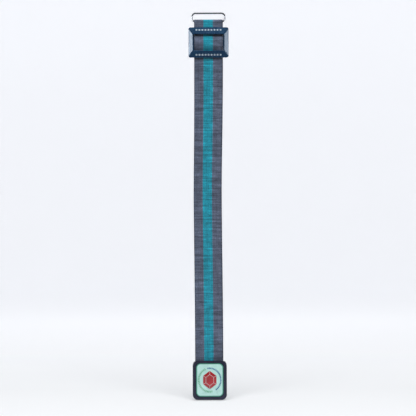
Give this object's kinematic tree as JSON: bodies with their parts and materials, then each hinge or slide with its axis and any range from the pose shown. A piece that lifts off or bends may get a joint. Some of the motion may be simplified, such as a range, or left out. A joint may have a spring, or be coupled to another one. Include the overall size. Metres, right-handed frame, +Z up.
{
  "type": "webbing belt",
  "caption": "Striped webbing belt with a wire end loop, a slide adjuster and a badge-faced hook buckle; the strap swings, slides and bends.",
  "frame": {"origin": "middle of the wire loop's top bar, where the belt hangs", "axes": "+Z up along the hanging belt, +X to the right as seen from the front, the badge faces -Y"},
  "size_m": [0.046, 0.0201, 0.4438],
  "materials": {
    "webbing": "ribbed grey webbing with a teal stripe down the middle",
    "thread": "twisted polyester thread",
    "wire": "bright chrome plate",
    "steel": "nickel-plated strip",
    "rivet_steel": "plated",
    "adjuster_plastic": "glossy navy",
    "buckle_plastic": "glossy blue-black",
    "mint_enamel": "smooth mint enamel",
    "red_enamel": "glossy red",
    "green_enamel": "soft green",
    "blue_enamel": "blue"
  },
  "bodies": {
    "wire_loop": {"wire_loop": "wire"},
    "strap_head": {"strap_fold": "webbing", "strap_front_run": "webbing", "strap_back_run": "webbing"},
    "adjuster": {"adjuster_frame": "adjuster_plastic", "adjuster_bar": "steel", "strap_bar_wrap": "webbing", "bar_stitching_upper": "thread", "bar_stitching_lower": "thread", "strap_over_bar": "webbing"},
    "strap_main": {"strap_upper": "webbing"},
    "strap_link_1": {"strap_segment_1": "webbing"},
    "strap_link_2": {"strap_segment_2": "webbing"},
    "strap_link_3": {"strap_segment_3": "webbing"},
    "strap_link_4": {"strap_segment_4": "webbing"},
    "strap_link_5": {"strap_segment_5": "webbing"},
    "strap_tail": {"strap_end": "webbing", "hem_stitching_upper": "thread", "hem_stitching_lower": "thread"},
    "buckle": {"buckle_frame": "buckle_plastic", "strap_pin": "steel", "buckle_back_plate": "steel", "buckle_hook": "steel", "hook_rivet_left": "rivet_steel", "hook_rivet_right": "rivet_steel", "plate_screw_1": "rivet_steel", "plate_screw_2": "rivet_steel", "plate_screw_3": "rivet_steel", "plate_screw_4": "rivet_steel", "badge_plate": "mint_enamel", "emblem_gem": "red_enamel", "emblem_ring_left": "green_enamel", "emblem_ring_right": "blue_enamel"}
  },
  "joints": [
    {"name": "strap_swing", "type": "hinge", "parent": "wire_loop", "child": "strap_head", "pos_m": [0, 0, -0.0098], "axis": [1, 0, 0], "range_deg": [-90, 90]},
    {"name": "adjuster_slide", "type": "slide", "parent": "strap_head", "child": "adjuster", "axis": [0, 0, -1], "range_m": [0, 0.085], "deforming": ["strap_back_run"]},
    {"name": "strap_feed", "type": "slide", "parent": "strap_head", "child": "strap_main", "axis": [0, 0, 1], "range_m": [0, 0.085], "deforming": ["strap_front_run"]},
    {"name": "strap_curl", "type": "hinge", "parent": "strap_main", "child": "strap_link_1", "pos_m": [0, -0.002, -0.225], "axis": [1, 0, 0], "range_deg": [-30, 30]},
    {"name": "strap_curl_2", "type": "hinge", "parent": "strap_link_1", "child": "strap_link_2", "pos_m": [0, -0.002, -0.255], "axis": [1, 0, 0], "range_deg": [-30, 30]},
    {"name": "strap_curl_3", "type": "hinge", "parent": "strap_link_2", "child": "strap_link_3", "pos_m": [0, -0.002, -0.285], "axis": [1, 0, 0], "range_deg": [-30, 30]},
    {"name": "strap_curl_4", "type": "hinge", "parent": "strap_link_3", "child": "strap_link_4", "pos_m": [0, -0.002, -0.315], "axis": [1, 0, 0], "range_deg": [-30, 30]},
    {"name": "strap_curl_5", "type": "hinge", "parent": "strap_link_4", "child": "strap_link_5", "pos_m": [0, -0.002, -0.345], "axis": [1, 0, 0], "range_deg": [-30, 30]},
    {"name": "strap_curl_6", "type": "hinge", "parent": "strap_link_5", "child": "strap_tail", "pos_m": [0, -0.002, -0.375], "axis": [1, 0, 0], "range_deg": [-30, 30]},
    {"name": "buckle_swing", "type": "hinge", "parent": "strap_tail", "child": "buckle", "pos_m": [0, 0.00025, -0.4033], "axis": [1, 0, 0], "range_deg": [-18, 80]}
  ],
  "couplings": [
    {"joint": "strap_feed", "follows": "adjuster_slide", "ratio": 1},
    {"joint": "strap_curl_2", "follows": "strap_curl", "ratio": 1},
    {"joint": "strap_curl_3", "follows": "strap_curl", "ratio": 1},
    {"joint": "strap_curl_4", "follows": "strap_curl", "ratio": 1},
    {"joint": "strap_curl_5", "follows": "strap_curl", "ratio": 1},
    {"joint": "strap_curl_6", "follows": "strap_curl", "ratio": 1}
  ]
}
